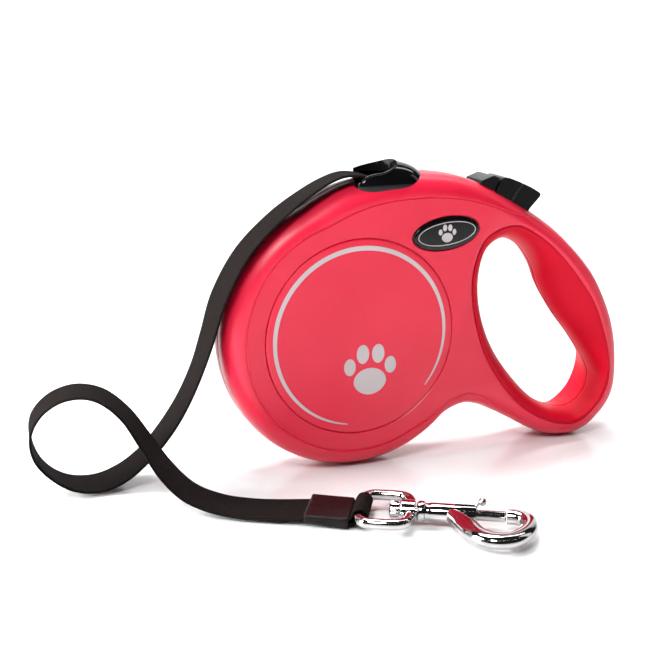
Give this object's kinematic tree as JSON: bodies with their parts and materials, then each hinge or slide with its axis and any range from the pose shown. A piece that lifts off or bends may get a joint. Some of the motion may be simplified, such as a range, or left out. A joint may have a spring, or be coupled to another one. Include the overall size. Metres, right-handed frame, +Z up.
{
  "type": "retractable leash",
  "caption": "Handheld retractable tape leash for a large dog: reel case with a grip opening, brake button, lock, free tape and a swivelling bolt snap.",
  "frame": {"origin": "middle of the case's footprint, on the surface it stands on", "axes": "+X from the reel to the handle, +Y from the front face to the rear face, +Z up"},
  "size_m": [0.2718, 0.1295, 0.1327],
  "materials": {
    "case_red": "satin gloss",
    "grip_red": "matt soft touch",
    "gloss_black": "high gloss",
    "satin_black": "satin",
    "tape_webbing": "woven polyester",
    "sleeve_vinyl": "satin vinyl",
    "chrome": "polished",
    "steel": "drawn",
    "reel_nylon": "moulded",
    "foot_rubber": "matt"
  },
  "bodies": {
    "case": {"front_shell": "case_red", "rear_shell": "case_red", "front_handle_grip": "grip_red", "rear_handle_grip": "grip_red", "front_face_cover": "case_red", "rear_face_cover": "case_red", "front_badge": "gloss_black", "rear_badge": "gloss_black", "rest_foot": "foot_rubber", "case_screw_1": "steel", "case_screw_2": "steel", "case_screw_3": "steel", "case_screw_4": "steel", "axle": "steel", "tape_outlet": "gloss_black", "brake_spring": "steel", "pawl_pin": "steel", "tape_free": "tape_webbing", "tape_inside": "tape_webbing", "guide_pin": "steel", "end_sleeve": "sleeve_vinyl", "tape_end_loop": "tape_webbing"},
    "reel": {"reel_drum": "reel_nylon", "ratchet_flange": "reel_nylon", "tape_coil": "tape_webbing", "mainspring": "steel"},
    "brake_button": {"brake_button": "satin_black"},
    "lock_slider": {"lock_slider": "satin_black"},
    "brake_pawl": {"brake_pawl": "reel_nylon"},
    "swivel_eye": {"swivel_eye": "chrome"},
    "snap_hook": {"swivel_rivet": "chrome", "hook_body": "chrome", "bolt_spring": "steel"},
    "hook_bolt": {"hook_bolt": "chrome"}
  },
  "joints": [
    {"name": "reel_spin", "type": "hinge", "parent": "case", "child": "reel", "pos_m": [-0.03636, 0, 0.0596], "axis": [0, 1, 0], "continuous": true},
    {"name": "brake_press", "type": "slide", "parent": "case", "child": "brake_button", "axis": [-0.4924, 0, -0.8704], "range_m": [0, 0.004], "stiffness_N_per_m": 300, "springref_m": -0.002, "deforming": ["brake_spring"]},
    {"name": "lock_slide", "type": "slide", "parent": "case", "child": "lock_slider", "axis": [-0.8704, 0, 0.4924], "range_m": [0, 0.004]},
    {"name": "pawl_turn", "type": "hinge", "parent": "case", "child": "brake_pawl", "pos_m": [0.00564, 0, 0.1018], "axis": [0, 1, 0], "range_deg": [0, 7.5]},
    {"name": "eye_tilt", "type": "hinge", "parent": "case", "child": "swivel_eye", "pos_m": [-0.0557, -0.06401, 0.0052], "axis": [-0.4833, -0.8755, 0], "range_deg": [0, 80]},
    {"name": "hook_swivel", "type": "hinge", "parent": "swivel_eye", "child": "snap_hook", "pos_m": [-0.03705, -0.0743, 0.0052], "axis": [0.8755, -0.4833, 0], "continuous": true},
    {"name": "bolt_slide", "type": "slide", "parent": "snap_hook", "child": "hook_bolt", "axis": [-0.8755, 0.4833, 0], "range_m": [0, 0.007], "stiffness_N_per_m": 200, "springref_m": -0.002, "deforming": ["bolt_spring"]}
  ],
  "couplings": [
    {"joint": "pawl_turn", "follows": "brake_press", "rad_per_m": 32.5}
  ]
}
